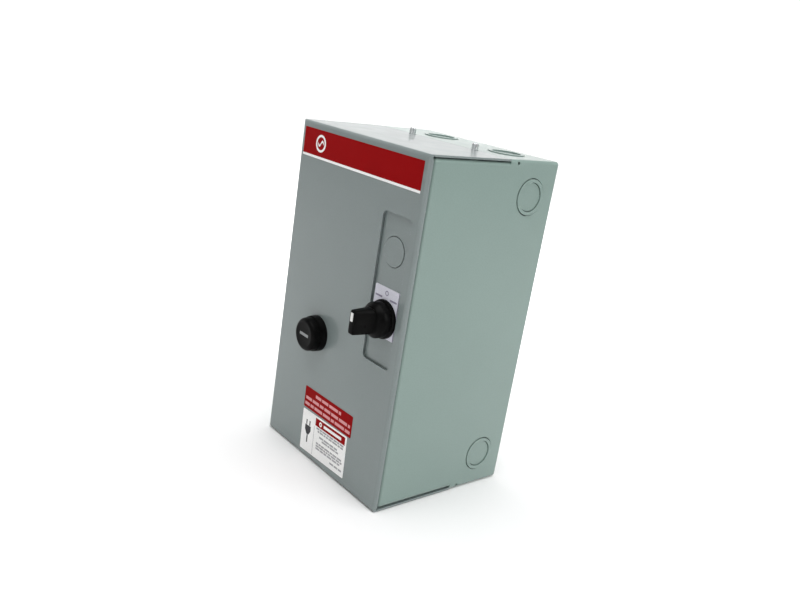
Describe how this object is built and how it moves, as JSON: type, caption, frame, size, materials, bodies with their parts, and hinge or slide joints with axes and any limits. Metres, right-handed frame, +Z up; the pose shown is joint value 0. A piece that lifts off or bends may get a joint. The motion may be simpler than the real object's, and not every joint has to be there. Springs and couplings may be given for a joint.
{
  "type": "enclosed motor starter",
  "caption": "Wall-mounting sheet-metal box with a lift-off cover, rotary selector, reset push button, contactor and overload relay",
  "frame": {"origin": "on the wall plane, at the centre of the four mounting holes", "axes": "+Z up, +X to the right seen from in front, front of the box towards -Y, wall towards +Y"},
  "size_m": [0.1532, 0.1582, 0.2716],
  "materials": {
    "cover_paint": "semi-gloss light grey enamel",
    "base_paint": "semi-gloss green-grey enamel",
    "bright_zinc": "bright zinc plating",
    "red_film": "printed vinyl film",
    "white_film": "printed vinyl film",
    "legend_white": "laminated legend plate",
    "white_insert": "moulded insert",
    "black_plastic": "fine-textured moulding",
    "grey_plastic": "moulded",
    "dark_plastic": "moulded",
    "white_nylon": "moulded",
    "green_plastic": "moulded",
    "copper": "bare copper",
    "brass": "bright brass",
    "aluminium": "tumbled",
    "blue_plastic": "moulded",
    "red_plastic": "moulded",
    "wire_jacket": "extruded insulation"
  },
  "bodies": {
    "enclosure": {"enclosure_base": "base_paint", "cover_studs": "bright_zinc", "mounting_rail": "bright_zinc", "rail_screws": "bright_zinc", "contactor_base": "dark_plastic", "contactor_housing": "grey_plastic", "fixed_contacts": "brass", "contactor_terminal_screws": "bright_zinc", "fixed_core": "bright_zinc", "coil_bobbin": "dark_plastic", "coil_winding": "copper", "return_springs": "bright_zinc", "coil_terminals": "brass", "coil_terminal_screws": "bright_zinc", "overload_housing": "dark_plastic", "connection_pins": "copper", "heater_strips": "brass", "relay_terminals": "brass", "relay_screws": "bright_zinc", "ground_lug": "aluminium", "ground_screws": "bright_zinc", "control_wire_upper": "wire_jacket", "control_wire_lower": "wire_jacket"},
    "cover": {"front_cover": "cover_paint", "header_band": "red_film", "header_stripe": "white_film", "notice_label": "red_film", "hazard_label": "white_film", "pilot_plate": "cover_paint", "pilot_plate_studs": "bright_zinc", "pilot_plate_nuts": "bright_zinc", "legend_plate": "legend_white", "selector_bezel": "black_plastic", "selector_nut": "black_plastic", "contact_block_mount": "grey_plastic", "left_contact_block": "dark_plastic", "right_contact_block": "dark_plastic", "contact_block_screws": "bright_zinc", "reset_bezel": "black_plastic", "reset_nut": "black_plastic", "reset_spring": "bright_zinc"},
    "selector": {"selector_knob": "black_plastic", "selector_pointer": "white_insert", "selector_cam": "white_nylon"},
    "left_plunger": {"left_contact_plunger": "green_plastic"},
    "right_plunger": {"right_contact_plunger": "green_plastic"},
    "reset_push_button": {"reset_button": "black_plastic", "reset_mark": "white_film", "reset_rod": "white_nylon"},
    "carrier": {"contact_carrier": "dark_plastic", "moving_bridges": "brass", "bridge_springs": "bright_zinc", "armature": "bright_zinc"},
    "setting_dial": {"current_dial": "dark_plastic"},
    "relay_reset": {"overload_reset_button": "blue_plastic"},
    "relay_test": {"overload_test_button": "red_plastic"}
  },
  "joints": [
    {"name": "cover_slide", "type": "slide", "parent": "enclosure", "child": "cover", "axis": [0, -1, 0], "range_m": [0, 0.1]},
    {"name": "selector_turn", "type": "hinge", "parent": "cover", "child": "selector", "pos_m": [0.0525, -0.131, 0.0115], "axis": [0, 1, 0], "range_deg": [-45, 45]},
    {"name": "left_plunger_press", "type": "slide", "parent": "cover", "child": "left_plunger", "axis": [0, 1, 0], "range_m": [0, 0.003], "stiffness_N_per_m": 150, "springref_m": -0.003},
    {"name": "right_plunger_press", "type": "slide", "parent": "cover", "child": "right_plunger", "axis": [0, 1, 0], "range_m": [0, 0.003], "stiffness_N_per_m": 150, "springref_m": -0.003},
    {"name": "reset_press", "type": "slide", "parent": "cover", "child": "reset_push_button", "axis": [0, 1, 0], "range_m": [0, 0.0045], "stiffness_N_per_m": 300, "springref_m": -0.003, "deforming": ["reset_spring"]},
    {"name": "relay_reset_press", "type": "slide", "parent": "enclosure", "child": "relay_reset", "axis": [0, 1, 0], "range_m": [0, 0.0045], "stiffness_N_per_m": 100, "springref_m": -0.002},
    {"name": "relay_test_press", "type": "slide", "parent": "enclosure", "child": "relay_test", "axis": [0, 1, 0], "range_m": [0, 0.002], "stiffness_N_per_m": 100, "springref_m": -0.002},
    {"name": "dial_turn", "type": "hinge", "parent": "enclosure", "child": "setting_dial", "pos_m": [-0.0115, -0.086, -0.0387], "axis": [0, 1, 0], "range_deg": [-135, 135]},
    {"name": "carrier_travel", "type": "slide", "parent": "enclosure", "child": "carrier", "axis": [0, 1, 0], "range_m": [0, 0.0045], "stiffness_N_per_m": 500, "springref_m": -0.006, "deforming": ["return_springs"]}
  ],
  "couplings": [
    {"joint": "relay_reset_press", "follows": "reset_press", "ratio": 1}
  ]
}
